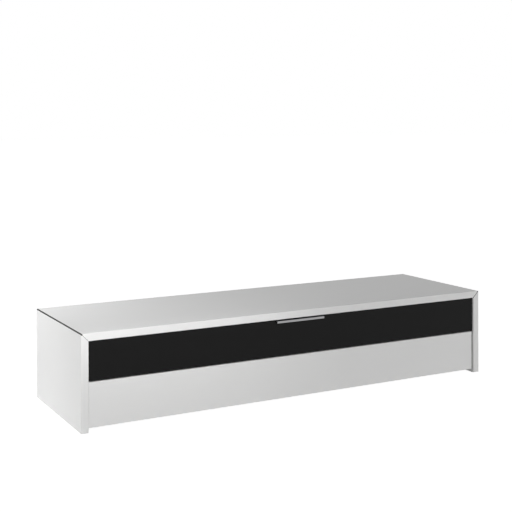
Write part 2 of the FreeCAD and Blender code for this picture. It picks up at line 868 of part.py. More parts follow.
bracket_span = ("inner_half - ear_near - bracket_width", "inner_half - ear_near")
bracket_screws = screws(
    "stay_bracket_screws",
    "small",
    [
        (
            "inner_half - ear_near - bracket_width * bracket_screw_share",
            "flap_back + stay_plate",
            f"stud_z {side} bracket_half_height * bracket_screw_share",
        )
        for side in "+-"
    ],
    "-Y",
)
bracket_blank = fuse(
    "stay_bracket_blank",
    [
        box(
            "stay_bracket_plate",
            bracket_span,
            ("flap_back", "flap_back + stay_plate"),
            ("stud_z - bracket_half_height", "stud_z + bracket_half_height"),
        ),
        box(
            "stay_bracket_ear",
            ("inner_half - ear_far", "inner_half - ear_near"),
            ("flap_back", "stud_y + ear_margin"),
            ("stud_z - stud_radius - ear_margin", "stud_z + stud_radius + ear_margin"),
        ),
        rod(
            "stay_bracket_stud",
            "stud_radius",
            ("inner_half - ear_far", "stud_y", "stud_z"),
            "+X",
            "ear_far - arm_layer + pin_overhang",
        ),
    ],
)
keep_pair("stay_bracket", cut("right_stay_bracket", bracket_blank, [bracket_screws]))

# Magnetic catches at the top of the flap
catch_screws = screws(
    "catch_screws",
    "catch",
    [
        (f"catch_distance {side} catch_screw_spread", "catch_face + catch_depth / 2", "catch_low")
        for side in "+-"
    ],
    "+Z",
)
catch_span = ("catch_distance - catch_width / 2", "catch_distance + catch_width / 2")
catch_blank = box(
    "catch_blank", catch_span, ("catch_face", "catch_face + catch_depth"), ("catch_low", "inner_top")
)
keep_pair("magnetic_catch", cut("right_magnetic_catch", catch_blank, [catch_screws]))
strike_screws = screws(
    "strike_screws",
    "small",
    [("catch_distance", "flap_back + strike_plate", "strike_top - strike_height / 2")],
    "-Y",
)
strike_blank = box(
    "strike_blank",
    ("catch_distance - strike_width / 2", "catch_distance + strike_width / 2"),
    ("flap_back", "flap_back + strike_plate"),
    ("strike_top - strike_height", "strike_top"),
)
keep_pair("strike_plate", cut("right_strike_plate", strike_blank, [strike_screws]))

# The handle: a slim bar with a lip in front and two short posts behind it
handle_span = ("-handle_length / 2", "handle_length / 2")
handle_web = box(
    "handle_top_web", handle_span, ("handle_front", "face"), ("handle_top - handle_web", "handle_top")
)
handle_lip = box(
    "handle_front_lip",
    handle_span,
    ("handle_front", "handle_front + handle_lip"),
    ("handle_low", "handle_top"),
)
handle_posts = [
    rod(f"handle_post_{number}", "handle_post_radius", (x, "face", "handle_mid"), "-Y", "handle_projection")
    for number, x in enumerate(("-handle_pitch / 2", "handle_pitch / 2"))
]
handle_heads = [(x, "flap_back", "handle_mid") for x in ("-handle_pitch / 2", "handle_pitch / 2")]
handle_screws = keep(screws("handle_screws", "handle", handle_heads, "-Y"))
keep(cut("handle", fuse("handle_blank", [handle_web, handle_lip, *handle_posts]), [handle_screws]))

# The flap
flap_span = ("-front_half", "front_half")
flap_rise = ("flap_low", "flap_top")
glass_blank = box("flap_glass_blank", flap_span, ("face", "face + glass"), flap_rise)
keep(cut("flap_glass", glass_blank, [handle_screws]))
flap_fasteners = keep(
    group(
        "flap_fitting_screws",
        [
            leaf_screws,
            pair("stay_bracket_screw_pair", bracket_screws),
            pair("strike_screw_pair", strike_screws),
        ],
    )
)
flap_blank = box("flap_panel_blank", flap_span, ("face + glass", "flap_back"), flap_rise)
keep(cut("flap_panel", flap_blank, [*notches, handle_screws, flap_fasteners]))


# Drawer runners: three nested channels on each side
def channel(label, web, web_inside, rim, half_height):
    """A C-shaped channel along the drawer, given its x places and its half height."""
    high = f"runner_mid + ({half_height})"
    low = f"runner_mid - ({half_height})"
    points = [
        (web, high),
        (web, low),
        (rim, low),
        (rim, f"{low} + runner_wall"),
        (web_inside, f"{low} + runner_wall"),
        (web_inside, f"{high} - runner_wall"),
        (rim, f"{high} - runner_wall"),
        (rim, high),
    ]
    return profile(label, "XZ", points, ("0", "runner_front", "0"), "runner_length")


runner_screw_places = [
    f"runner_front + runner_length * (1 / 2 {side} runner_screw_share)" for side in "+-"
]
outer_screws = screws(
    "outer_runner_screws",
    "runner",
    [("inner_half - runner_wall", y, "runner_mid") for y in runner_screw_places],
    "+X",
)
inner_screws = screws(
    "inner_runner_screws",
    "runner",
    [("box_half + runner_wall", y, "runner_mid") for y in runner_screw_places],
    "-X",
)
outer_blank = channel(
    "outer_runner_blank",
    "inner_half",
    "inner_half - runner_wall",
    "inner_half - outer_flange",
    "runner_height / 2",
)
middle_runner = channel(
    "right_middle_runner",
    "inner_half - runner_wall - runner_web_gap",
    "inner_half - 2 * runner_wall - runner_web_gap",
    "inner_half - middle_reach",
    "runner_height / 2 - runner_wall - runner_nest",
)
inner_blank = channel(
    "inner_runner_blank",
    "box_half",
    "box_half + runner_wall",
    "inner_half - inner_reach",
    "runner_height / 2 - 2 * (runner_wall + runner_nest)",
)
keep_pair("outer_runner", cut("right_outer_runner", outer_blank, [outer_screws]))
keep_pair("middle_runner", middle_runner)
keep_pair("inner_runner", cut("right_inner_runner", inner_blank, [inner_screws]))

# The drawer
drawer_dowels_right = []
for name, z in {"low": "box_low + drawer_dowel_inset", "high": "box_high - drawer_dowel_inset"}.items():
    side_mid = "side_inner + drawer_side_board / 2"
    back_mid = "box_back - drawer_back_board / 2"
    front_at = (side_mid, "drawer_rear - dowel_bite", z)
    back_at = ("side_inner + drawer_dowel_bite - dowel_length", back_mid, z)
    drawer_dowels_right.append(
        rod(f"drawer_front_{name}_dowel", "dowel_radius", front_at, "+Y", "dowel_length")
    )
    drawer_dowels_right.append(
        rod(f"drawer_back_{name}_dowel", "dowel_radius", back_at, "+X", "dowel_length")
    )
drawer_dowels = keep(pair("drawer_dowels", group("drawer_dowels_right", drawer_dowels_right)))
drawer_bottom = keep(
    box(
        "drawer_bottom",
        ("-side_inner - drawer_bottom_groove", "side_inner + drawer_bottom_groove"),
        ("drawer_rear", "box_back_front + drawer_bottom_groove"),
        ("bottom_low", "bottom_top"),
    )
)
rail = box(
    "drawer_rail",
    ("drawer_rail_distance - drawer_rail_width / 2", "drawer_rail_distance + drawer_rail_width / 2"),
    ("drawer_rear", "box_back_front"),
    ("box_low", "bottom_low"),
)
keep(pair("drawer_bottom_rails", rail))
side_board = box(
    "drawer_side_blank", ("side_inner", "box_half"), ("drawer_rear", "box_back"), ("box_low", "box_high")
)
keep_pair("drawer_side", cut("right_drawer_side", side_board, [drawer_dowels, drawer_bottom, inner_screws]))
back_board = box(
    "drawer_back_blank",
    ("-side_inner", "side_inner"),
    ("box_back_front", "box_back"),
    ("box_low", "box_high"),
)
keep(cut("drawer_back", back_board, [drawer_dowels, drawer_bottom]))
front_board = box("drawer_front_blank", flap_span, ("face", "drawer_rear"), ("drawer_low", "drawer_top"))
keep(cut("drawer_front", front_board, [drawer_dowels]))
keep(pair("drawer_runner_screws", inner_screws))

# Push latches behind the drawer
latch_screws = screws(
    "latch_screws",
    "small",
    [
        ("divider_near - latch_flange", "latch_back - latch_cover / 2", f"latch_z {side} latch_screw_z")
        for side in "+-"
    ],
    "+X",
)
latch_body = box(
    "latch_body",
    ("divider_near - latch_width", "divider_near"),
    ("latch_front", "latch_back"),
    ("latch_z - latch_height / 2", "latch_z + latch_height / 2"),
)
latch_flange = box(
    "latch_flange_plate",
    ("divider_near - latch_flange", "divider_near"),
    ("latch_flange_front", "latch_back"),
    ("latch_z - latch_height / 2 - latch_flange_rise", "latch_z + latch_height / 2 + latch_flange_rise"),
)
latch_bore = rod(
    "latch_bore",
    "plunger_radius + plunger_clearance",
    ("latch_mid", "latch_front - cut_overrun", "latch_z"),
    "+Y",
    "plunger_bore_depth + cut_overrun",
)
latch_blank = fuse("latch_blank", [latch_body, latch_flange])
keep_pair("push_latch", cut("right_push_latch", latch_blank, [latch_bore, latch_screws]))
plunger_start = "box_back + plunger_gap"
plunger_tip = rod(
    "plunger_tip_disc", "plunger_tip_radius", ("latch_mid", plunger_start, "latch_z"), "+Y", "plunger_tip"
)
plunger_stem = rod(
    "plunger_stem",
    "plunger_radius",
    ("latch_mid", plunger_start, "latch_z"),
    "+Y",
    "plunger_tip + plunger_length",
)
keep_pair("latch_plunger", fuse("right_latch_plunger", [plunger_tip, plunger_stem]))

# Boards with their slots and holes
fitting_screws = keep(
    group(
        "carcass_fitting_screws",
        [
            arm_screws,
            stiffener_screws,
            pair("stay_base_screw_pair", stay_base_screws),
            pair("catch_screw_pair", catch_screws),
            pair("outer_runner_screw_pair", outer_screws),
            pair("latch_screw_pair", latch_screws),
        ],
    )
)
keep(cut("top_panel", top_blank, [grooves, back_blank, mitre_dowels, dowels, fitting_screws]))
side_tools = [grooves, back_blank, mitre_dowels, *joinery, fitting_screws, glides]
keep_pair("side_panel", cut("right_side_panel", side_blank, side_tools))
keep(cut("shelf_panel", shelf_blank, [*joinery, arm_screws, stiffener_screws]))
keep(cut("base_panel", base_blank, [*joinery, feet, back_screws]))
keep_pair("divider", cut("right_divider", divider_blank, [dowels, back_screws]))
keep_pair("rear_upright", cut("right_rear_upright", upright_blank, [dowels, fitting_screws]))


def check_and_write():
    """Stops on any failed object or shape, then writes each piece to its own file."""
    doc.recompute()
    failed = [thing.Label for thing in doc.Objects if {"Invalid", "Error"} & set(thing.State)]
    if failed:
        raise RuntimeError(f"these objects failed: {', '.join(failed)}")
    for thing in nodes:
        if thing.Shape.isNull() or not thing.Shape.isValid() or not thing.Shape.Solids:
            raise RuntimeError(f"{thing.Label} has no valid solid")
    os.makedirs("parts", exist_ok=True)
    for thing in nodes:
        thing.Shape.exportStep(f"parts/{thing.Label}.step")
    print(f"{len(nodes)} pieces written")


check_and_write()
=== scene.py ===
"""Look model of a low media cabinet: a mitred white frame, a black glass flap and a wide drawer.

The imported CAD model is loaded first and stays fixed. The boards of the frame, the two fronts, the
handle, the grommets, the glides and the feet are modelled anew with eased edges. The inner boards,
the drawer's box and the flap's panel are eased copies of their nodes. All other nodes keep their
CAD shape and get a procedural finish.
"""

import logging
import math
from collections.abc import Callable, Iterator, Sequence
from contextlib import contextmanager
from dataclasses import dataclass, field
from enum import Enum

import bmesh
import bpy
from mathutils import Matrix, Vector


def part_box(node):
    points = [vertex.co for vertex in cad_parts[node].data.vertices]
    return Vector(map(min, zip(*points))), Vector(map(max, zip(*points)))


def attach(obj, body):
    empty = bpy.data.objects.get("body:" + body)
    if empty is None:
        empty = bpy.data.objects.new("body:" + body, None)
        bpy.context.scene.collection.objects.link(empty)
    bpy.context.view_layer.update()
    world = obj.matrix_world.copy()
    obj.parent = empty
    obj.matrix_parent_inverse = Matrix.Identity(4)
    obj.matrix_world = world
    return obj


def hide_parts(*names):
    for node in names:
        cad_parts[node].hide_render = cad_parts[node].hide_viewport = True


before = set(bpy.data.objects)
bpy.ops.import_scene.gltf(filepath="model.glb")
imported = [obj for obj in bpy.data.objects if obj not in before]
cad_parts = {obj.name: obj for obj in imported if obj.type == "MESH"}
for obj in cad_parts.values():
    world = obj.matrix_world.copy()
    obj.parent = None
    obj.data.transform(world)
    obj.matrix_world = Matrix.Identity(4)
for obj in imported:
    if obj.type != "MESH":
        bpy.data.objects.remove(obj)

LOG = logging.getLogger("lowboard")
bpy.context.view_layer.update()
Test = Callable[[Vector, Vector], bool]

MM = 0.001
# Places this close count as one
CLOSE = 0.1 * MM
# The part of a unit vector along an axis above which it counts as parallel, or as wholly so
PARALLEL = 0.9
FLAT = 0.999
# The part below which it counts as square to the axis
SQUARE = 0.1
# Edges sharper than this can be eased, and faces under the second angle are shaded as one surface
SHARP = math.radians(40)
SMOOTH = math.radians(35)
MITRE = math.radians(45)
# Sides of a round blank
ROUND = 48
# Points this close are merged, first in a new piece and then in a copied node
WELD = 0.02 * MM
NODE_WELD = 0.01 * MM
# The most edges of a slit that is closed, and the bend under which a node's triangles are one face
SLIT_SIDES = 4
COPLANAR = math.radians(1)


class Pattern(Enum):
    """The fine surface pattern of a finish, which is also the name of its node group."""

    RIPPLE = "lacquer_ripple"
    GLASS = "glass_haze"
    PORES = "board_pores"
    BRUSHED = "brushed_lines"
    PLATED = "plated_mottle"
    MOULDED = "moulded_grain"
    TIMBER = "timber_grain"


class Side(Enum):
    """The two ends of the cabinet, as the sign of their x places."""

    LEFT = -1
    RIGHT = 1


# Mesh work


def select_only(*things: bpy.types.Object) -> None:
    """Selects the given objects and makes the first one active.

    Args:
        things: The objects.
    """
    bpy.ops.object.select_all(action="DESELECT")
    for thing in things:
        thing.select_set(True)
    bpy.context.view_layer.objects.active = things[0]


@contextmanager
def editing(thing: bpy.types.Object, elements: str = "FACE") -> Iterator[None]:
    """Opens a mesh in edit mode with nothing selected, and closes it again.

    Args:
        thing: The mesh object.
        elements: The select mode, VERT, EDGE or FACE.
    """
    select_only(thing)
    bpy.ops.object.mode_set(mode="EDIT")
    bpy.ops.mesh.select_mode(type=elements)
    bpy.ops.mesh.select_all(action="DESELECT")
    yield
    bpy.ops.object.mode_set(mode="OBJECT")


def pick_faces(thing: bpy.types.Object, test: Test) -> None:
    """Selects the faces whose centre and normal pass the test, in edit mode.

    Args:
        thing: The mesh object in edit mode.
        test: Says of a face's centre and normal whether it is wanted.
    """
    mesh = bmesh.from_edit_mesh(thing.data)
    for face in mesh.faces:
        face.select_set(test(face.calc_center_median(), face.normal))
    bmesh.update_edit_mesh(thing.data)


def pick_edges(thing: bpy.types.Object, test: Test) -> None:
    """Selects the sharp edges whose middle and direction pass the test, in edit mode.

    Args:
        thing: The mesh object in edit mode.
        test: Says of an edge's middle and its direction whether it is wanted.
    """
    mesh = bmesh.from_edit_mesh(thing.data)
    for edge in mesh.edges:
        a, b = (vertex.co for vertex in edge.verts)
        sharp = len(edge.link_faces) == 2 and edge.calc_face_angle() > SHARP
        edge.select_set(sharp and test((a + b) / 2, (b - a).normalized()))
    bmesh.update_edit_mesh(thing.data)


def block(name: str, low: Sequence[float], high: Sequence[float]) -> bpy.types.Object:
    """Adds a cube from corner to corner, with its place and size in the mesh.

    Args:
        name: The piece's name.
        low: The lowest corner in metres.
        high: The highest corner in metres.

    Returns:
        The new object, at the origin.
    """
    low, high = Vector(low), Vector(high)
    bpy.ops.object.select_all(action="DESELECT")
    bpy.ops.mesh.primitive_cube_add(size=1.0, location=(low + high) / 2)
    thing = bpy.context.object
    thing.name = thing.data.name = name
    thing.scale = high - low
    bpy.ops.object.transform_apply(location=True, rotation=True, scale=True)
    return thing


def disc(
    name: str, centre: Sequence[float], radius: float, height: float, axis: str = "Z"
) -> bpy.types.Object:
    """Adds a round blank whose first end is at the centre.

    Args:
        name: The piece's name.
        centre: The middle of its first end, in metres.
        radius: Its radius.
        height: Its length along the axis.
        axis: Y or Z, the way it points.

    Returns:
        The new object, at the origin.
    """
    along = Vector((0, 1, 0)) if axis == "Y" else Vector((0, 0, 1))
    turn = (math.radians(-90), 0, 0) if axis == "Y" else (0, 0, 0)
    bpy.ops.object.select_all(action="DESELECT")
    middle = Vector(centre) + along * height / 2
    bpy.ops.mesh.primitive_cylinder_add(
        vertices=ROUND, radius=radius, depth=height, location=middle, rotation=turn
    )
    thing = bpy.context.object
    thing.name = thing.data.name = name
    bpy.ops.object.transform_apply(location=True, rotation=True, scale=True)
    return thing


def bisect(
    thing: bpy.types.Object, point: Sequence[float], normal: Sequence[float], keep_all: bool = False
) -> None:
    """Cuts a mesh with a plane.

    Args:
        thing: The mesh object.
        point: A point of the plane.
        normal: The plane's normal; what lies on its side is cut away.
        keep_all: True to only score the mesh and cut nothing away.
    """
    with editing(thing):
        bpy.ops.mesh.select_all(action="SELECT")
        bpy.ops.mesh.bisect(
            plane_co=point, plane_no=normal, use_fill=not keep_all, clear_outer=not keep_all
        )


def extrude(thing: bpy.types.Object, test: Test, offset: Sequence[float]) -> None:
    """Extrudes some faces.

    Args:
        thing: The mesh object.
        test: Says of a face's centre and normal whether it is wanted.
        offset: How far the faces move, in metres.
    """
    with editing(thing):
        pick_faces(thing, test)
        bpy.ops.mesh.extrude_region_move(TRANSFORM_OT_translate={"value": tuple(offset)})


def inset(thing: bpy.types.Object, test: Test, thickness: float, depth: float = 0.0) -> None:
    """Insets some faces.

    Args:
        thing: The mesh object.
        test: Says of a face's centre and normal whether it is wanted.
        thickness: The width of the new rim in metres.
        depth: How far the faces rise out of the rim; below zero they sink into it.
    """
    with editing(thing):
        pick_faces(thing, test)
        bpy.ops.mesh.inset(thickness=thickness, depth=depth)


def ease(
    thing: bpy.types.Object, width: float, test: Test | None = None, segments: int = 3
) -> None:
    """Rounds the sharp edges that pass the test.

    Args:
        thing: The mesh object.
        width: The width of the rounding in metres.
        test: Says of an edge's middle and direction whether it is wanted. Left out, all are.
        segments: The number of faces across the rounding.
    """
    with editing(thing, "EDGE"):
        pick_edges(thing, test or (lambda middle, way: True))
        bpy.ops.mesh.bevel(offset=width, segments=segments, affect="EDGES", clamp_overlap=True)


def bore(thing: bpy.types.Object, test: Test) -> None:
    """Opens a hole between two end faces.

    Args:
        thing: The mesh object.
        test: Says of a face's centre and normal whether it is one of the two.
    """
    with editing(thing):
        pick_faces(thing, test)
        bpy.ops.mesh.delete(type="ONLY_FACE")
        mesh = bmesh.from_edit_mesh(thing.data)
        for edge in mesh.edges:
            edge.select_set(edge.is_boundary)
        bmesh.update_edit_mesh(thing.data)
        bpy.ops.mesh.bridge_edge_loops()


def apply_modifier(thing: bpy.types.Object, kind: str, **values: object) -> None:
    """Adds a modifier and applies it.

    Args:
        thing: The mesh object.
        kind: The modifier's type.
        values: The modifier's values by name.
    """
    select_only(thing)
    modifier = thing.modifiers.new(kind.lower(), kind)
    for name, value in values.items():
        setattr(modifier, name, value)
    bpy.ops.object.modifier_apply(modifier=modifier.name)


def cut(thing: bpy.types.Object, tool: bpy.types.Object) -> None:
    """Takes the tool's shape out of a mesh, and removes the tool."""
    apply_modifier(thing, "BOOLEAN", object=tool, operation="DIFFERENCE", solver="EXACT")
    bpy.data.objects.remove(tool)


def join(name: str, *things: bpy.types.Object) -> bpy.types.Object:
    """Joins meshes into one piece.

    Args:
        name: The piece's name.
        things: The objects to join.

    Returns:
        The joined object.
    """
    select_only(*things)
    bpy.ops.object.join()
    joined = bpy.context.object
    joined.name = joined.data.name = name
    return joined


def settle(thing: bpy.types.Object) -> None:
    """Merges doubles, closes slits, turns the faces outwards and smooths the roundings.

    Args:
        thing: The mesh object.
    """
    with editing(thing, "VERT"):
        bpy.ops.mesh.select_all(action="SELECT")
        bpy.ops.mesh.remove_doubles(threshold=WELD)
        bpy.ops.mesh.fill_holes(sides=SLIT_SIDES)
        bpy.ops.mesh.normals_make_consistent(inside=False)
    select_only(thing)
    bpy.ops.object.shade_smooth_by_angle(angle=SMOOTH)
    apply_modifier(thing, "WEIGHTED_NORMAL", keep_sharp=True)


def merged_copy(node: str, name: str) -> bpy.types.Object:
    """Copies a CAD node's mesh and merges its loose triangles.

    Args:
        node: The CAD node.
        name: The copy's name.

    Returns:
        The copy, with its coplanar triangles joined again.
    """
    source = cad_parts[node]
    thing = bpy.data.objects.new(name, source.data.copy())
    thing.data.name = name
    thing.data.materials.clear()
    bpy.context.scene.collection.objects.link(thing)
    with editing(thing, "VERT"):
        bpy.ops.mesh.customdata_custom_splitnormals_clear()
        bpy.ops.mesh.select_all(action="SELECT")
        bpy.ops.mesh.remove_doubles(threshold=NODE_WELD)
        bpy.ops.mesh.dissolve_limited(angle_limit=COPLANAR)
    return thing


def hand_over(thing: bpy.types.Object, body: str, slot: str, *nodes: str) -> None:
    """Finishes a piece, gives it its body and its finish, and hides the nodes that it stands for.

    Args:
        thing: The finished piece.
        body: The CAD body that it rides on.
        slot: The material slot.
        nodes: The CAD nodes that it replaces.
    """
    settle(thing)
    thing.data.materials.clear()
    thing.data.materials.append(FINISHES.material(slot))
    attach(thing, body)
    if nodes:
        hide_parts(*nodes)
    LOG.info("%s: %d faces on %s", thing.name, len(thing.data.polygons), body)


# Finishes


class NodeSheet:
    """Lays nodes on a tree and links them."""

    def __init__(self, tree: bpy.types.NodeTree) -> None:
        """Starts on an empty tree."""
        self.tree = tree
        tree.nodes.clear()

    def add(
        self, kind: str, settings: dict[str, object] | None = None, **inputs: object
    ) -> bpy.types.Node:
        """Adds a node.

        Args:
            kind: The node's type without the ShaderNode prefix.
            settings: Values of the node itself.
            inputs: Socket values, or output sockets to link, by the input's name with _ for
                a space, or by i and its number.

        Returns:
            The new node.
        """
        prefix = "" if kind.startswith("Node") else "ShaderNode"
        node = self.tree.nodes.new(prefix + kind)
        for name, value in (settings or {}).items():
            setattr(node, name, value)
        for name, value in inputs.items():
            key = int(name[1:]) if name[0] == "i" and name[1:].isdigit() else name.replace("_", " ")
            if isinstance(value, bpy.types.NodeSocket):
                self.tree.links.new(value, node.inputs[key])
            else:
                node.inputs[key].default_value = value
        return node

    def group(self, tree: bpy.types.NodeTree, **inputs: object) -> bpy.types.Node:
        """Adds a node group and returns its node."""
        return self.add("Group", {"node_tree": tree}, **inputs)

    def maths(
        self, operation: str, a: object, b: object = 0.0, clamp: bool = False
    ) -> bpy.types.NodeSocket:
        """Adds a Math node and returns its result."""
        return self.add("Math", {"operation": operation, "use_clamp": clamp}, i0=a, i1=b).outputs[0]

    def noise(
        self, vector: object, scale: object, detail: float, rough: float = 0.5
    ) -> bpy.types.NodeSocket:
        """Adds a noise texture and returns its value."""
        inputs = {"Vector": vector, "Scale": scale, "Detail": detail, "Roughness": rough}
        return self.add("TexNoise", **inputs).outputs[0]

    def drawn_out(self, vector: object, share: float) -> bpy.types.NodeSocket:
        """Scales a vector's x by a share, which draws a texture out along x, and returns it."""
        factors = (share, 1.0, 1.0)
        return self.add("VectorMath", {"operation": "MULTIPLY"}, i0=vector, i1=factors).outputs[0]

    def blend(self, mask: object, colour: object, other: object) -> bpy.types.NodeSocket:
        """Mixes two colours by a mask and returns the result."""
        mixed = self.add("Mix", {"data_type": "RGBA"}, i0=mask, i6=colour, i7=other)
        return mixed.outputs[2]


def new_group(
    name: str, inputs: dict[str, float], outputs: Sequence[str]
) -> tuple[NodeSheet, bpy.types.Node]:
    """Starts a shader node group.

    Args:
        name: The group's name.
        inputs: Its float inputs with their defaults; a Vector input comes before them.
        outputs: Its float outputs.

    Returns:
        The group's sheet and its input node.
    """
    tree = bpy.data.node_groups.new(name, "ShaderNodeTree")
    tree.interface.new_socket("Vector", in_out="INPUT", socket_type="NodeSocketVector")
    for label, value in inputs.items():
        socket = tree.interface.new_socket(label, in_out="INPUT", socket_type="NodeSocketFloat")
        socket.default_value = value
    for label in outputs:
        tree.interface.new_socket(label, in_out="OUTPUT", socket_type="NodeSocketFloat")
    sheet = NodeSheet(tree)
    return sheet, sheet.add("NodeGroupInput")


@dataclass(frozen=True)
class Noise:
    """A noise layer of a pattern, with its scale and its use of x as shares of the pattern's."""

    scale: float
    detail: float
    rough: float = 0.5
    x_share: float = 1.0

    def lay(self, sheet: NodeSheet, vector: object, scale: object) -> bpy.types.NodeSocket:
        """Adds the layer to a sheet.

        Args:
            sheet: The sheet of the pattern's group.
            vector: The place on the piece.
            scale: The pattern's scale.

        Returns:
            The layer's value.
        """
        place = sheet.drawn_out(vector, self.x_share)
        own_scale = sheet.maths("MULTIPLY", scale, self.scale)
        return sheet.noise(place, own_scale, self.detail, self.rough)


@dataclass(frozen=True)
class Cells:
    """A layer of rounded cells, as moulded plastic has."""

    smoothness: float = 0.6

    def lay(self, sheet: NodeSheet, vector: object, scale: object) -> bpy.types.NodeSocket:
        """Adds the layer to a sheet and returns its value."""
        inputs = {"Vector": vector, "Scale": scale, "Smoothness": self.smoothness}
        return sheet.add("TexVoronoi", {"feature": "SMOOTH_F1"}, **inputs).outputs["Distance"]


@dataclass(frozen=True)
class Rings:
    """A layer of bent growth rings, as sawn timber has."""

    distortion: float = 6.0
    detail: float = 3.0
    x_share: float = 0.08

    def lay(self, sheet: NodeSheet, vector: object, scale: object) -> bpy.types.NodeSocket:
        """Adds the layer to a sheet.

        Args:
            sheet: The sheet of the pattern's group.
            vector: The place on the piece.
            scale: The pattern's scale.

        Returns:
            The layer's value.
        """
        settings = {"wave_type": "RINGS", "rings_direction": "X"}
        inputs = {"Scale": scale, "Distortion": self.distortion, "Detail": self.detail}
        place = sheet.drawn_out(vector, self.x_share)
        return sheet.add("TexWave", settings, Vector=place, **inputs).outputs["Fac"]


# The height and the tone of each pattern
LAYERS: dict[Pattern, tuple[Noise | Cells | Rings, Noise | Cells | Rings]] = {
    Pattern.RIPPLE: (Noise(1.0, 1.0), Noise(0.02, 3.0)),
    Pattern.GLASS: (Noise(0.1, 0.0), Noise(1.0, 6.0, 0.7)),
    Pattern.PORES: (Noise(1.0, 4.0, 0.7, x_share=0.5), Noise(0.03, 2.0)),
    Pattern.BRUSHED: (Noise(1.0, 3.0, 0.6, x_share=0.02), Noise(1.0, 3.0, 0.6, x_share=0.02)),
    Pattern.PLATED: (Noise(1.0, 3.0), Noise(0.12, 4.0, 0.6)),
    Pattern.MOULDED: (Cells(), Noise(0.05, 3.0)),
    Pattern.TIMBER: (Noise(6.0, 3.0, x_share=0.08), Rings()),
}


def pattern_group(pattern: Pattern) -> bpy.types.NodeTree:
    """Builds or finds the node group of a pattern, which puts out a height and a tone from 0 to 1.

    Args:
        pattern: The pattern.

    Returns:
        The node group.
    """
    known = bpy.data.node_groups.get(pattern.value)
    if known:
        return known
    sheet, given = new_group(pattern.value, {"Scale": 1.0}, ("Height", "Tone"))
    vector, scale = given.outputs["Vector"], given.outputs["Scale"]
    height, tone = (layer.lay(sheet, vector, scale) for layer in LAYERS[pattern])
    sheet.add("NodeGroupOutput", None, Height=height, Tone=tone)
    return sheet.tree


# How strongly a bent edge shows in the wear mask, and what dust looks like
WEAR_GAIN = 8.0
DUST_COLOUR = (0.62, 0.6, 0.57)
DUST_ROUGHNESS = 0.5


def wear_group() -> bpy.types.NodeTree:
    """Builds or finds the group that puts out a mask of worn edges from the rounded normal.

    Returns:
        The node group.
    """
    known = bpy.data.node_groups.get("edge_wear")
    if known:
        return known
    sheet, given = new_group("edge_wear", {"Radius": 0.001, "Amount": 0.3}, ("Mask",))
    rounded = sheet.add("Bevel", {"samples": 4}, Radius=given.outputs["Radius"]).outputs[0]
    normal = sheet.add("NewGeometry").outputs["Normal"]
    product = sheet.add("VectorMath", {"operation": "DOT_PRODUCT"}, i0=rounded, i1=normal)
    edge = sheet.maths("SUBTRACT", 1.0, product.outputs["Value"], clamp=True)
    breaks = sheet.noise(given.outputs["Vector"], scale=90.0, detail=4.0)
    broken = sheet.maths("MULTIPLY", sheet.maths("MULTIPLY", edge, breaks), WEAR_GAIN)
    mask = sheet.maths("MULTIPLY", broken, given.outputs["Amount"], clamp=True)
    sheet.add("NodeGroupOutput", None, Mask=mask)
    return sheet.tree


def dust_group() -> bpy.types.NodeTree:
    """Builds or finds the group that puts out a mask of fine dust on faces that look up.

    Returns:
        The node group.
    """
    known = bpy.data.node_groups.get("fine_dust")
    if known:
        return known
    sheet, given = new_group("fine_dust", {"Amount": 0.1}, ("Mask",))
    normal = sheet.add("NewGeometry").outputs["Normal"]
    up = sheet.add("SeparateXYZ", None, i0=normal).outputs["Z"]
    specks = sheet.noise(given.outputs["Vector"], scale=900.0, detail=2.0, rough=0.8)
    clouds = sheet.noise(given.outputs["Vector"], scale=3.0, detail=4.0, rough=0.6)
    spread = sheet.maths("MULTIPLY", specks, clouds)
    lying = sheet.maths("MULTIPLY", sheet.maths("MAXIMUM", up, 0.0), spread)
    mask = sheet.maths("MULTIPLY", lying, given.outputs["Amount"], clamp=True)
    sheet.add("NodeGroupOutput", None, Mask=mask)
    return sheet.tree


@dataclass(frozen=True)
class Finish:
    """One finish of the cabinet, in linear colours.

    Its pattern's tone goes from the colour to the other one and from the lower roughness to the
    higher, and its pattern's height stands out by the depth, in metres.
    """

    colour: tuple[float, float, float]
    other: tuple[float, float, float]
    pattern: Pattern
    scale: float
    depth: float = 0.00002
    metallic: float = 0.0
    rough: tuple[float, float] = (0.3, 0.4)
    coat: float = 0.0
    coat_rough: float = 0.03
    specular: float = 0.5
    wear: tuple[float, float, float] = (0.9, 0.9, 0.9)
    wear_amount: float = 0.1
    dust: float = 0.1

    def build(self, name: str) -> bpy.types.Material:
        """Builds the finish as a node material.

        Args:
            name: The material's name, which is its slot's.

        Returns:
            The material.
        """
        material = bpy.data.materials.new(name)
        material.use_nodes = True
        sheet = NodeSheet(material.node_tree)
        place = sheet.add("TexCoord").outputs["Object"]
        pattern = sheet.group(pattern_group(self.pattern), Vector=place, Scale=self.scale)
        wear = sheet.group(wear_group(), Vector=place, Amount=self.wear_amount)
        dust = sheet.group(dust_group(), Vector=place, Amount=self.dust)
        tone = pattern.outputs["Tone"]
        base = sheet.blend(tone, (*self.colour, 1.0), (*self.other, 1.0))
        worn = sheet.blend(wear.outputs["Mask"], base, (*self.wear, 1.0))
        dusty = sheet.blend(dust.outputs["Mask"], worn, (*DUST_COLOUR, 1.0))
        low, high = self.rough
        rough = sheet.add("MapRange", None, Value=tone, To_Min=low, To_Max=high).outputs[0]
        lying = sheet.maths("MULTIPLY", dust.outputs["Mask"], DUST_ROUGHNESS)
        rough = sheet.maths("ADD", rough, lying, clamp=True)
        relief = pattern.outputs["Height"]
        bump = sheet.add("Bump", None, Strength=1.0, Distance=self.depth, Height=relief)
        shader = sheet.add(
            "BsdfPrincipled",
            None,
            Base_Color=dusty,
            Metallic=self.metallic,
            Roughness=rough,
            Normal=bump.outputs[0],
            Coat_Weight=self.coat,
            Coat_Roughness=self.coat_rough,
            Specular_IOR_Level=self.specular,
        )
        sheet.add("OutputMaterial", None, Surface=shader.outputs[0])
        return material


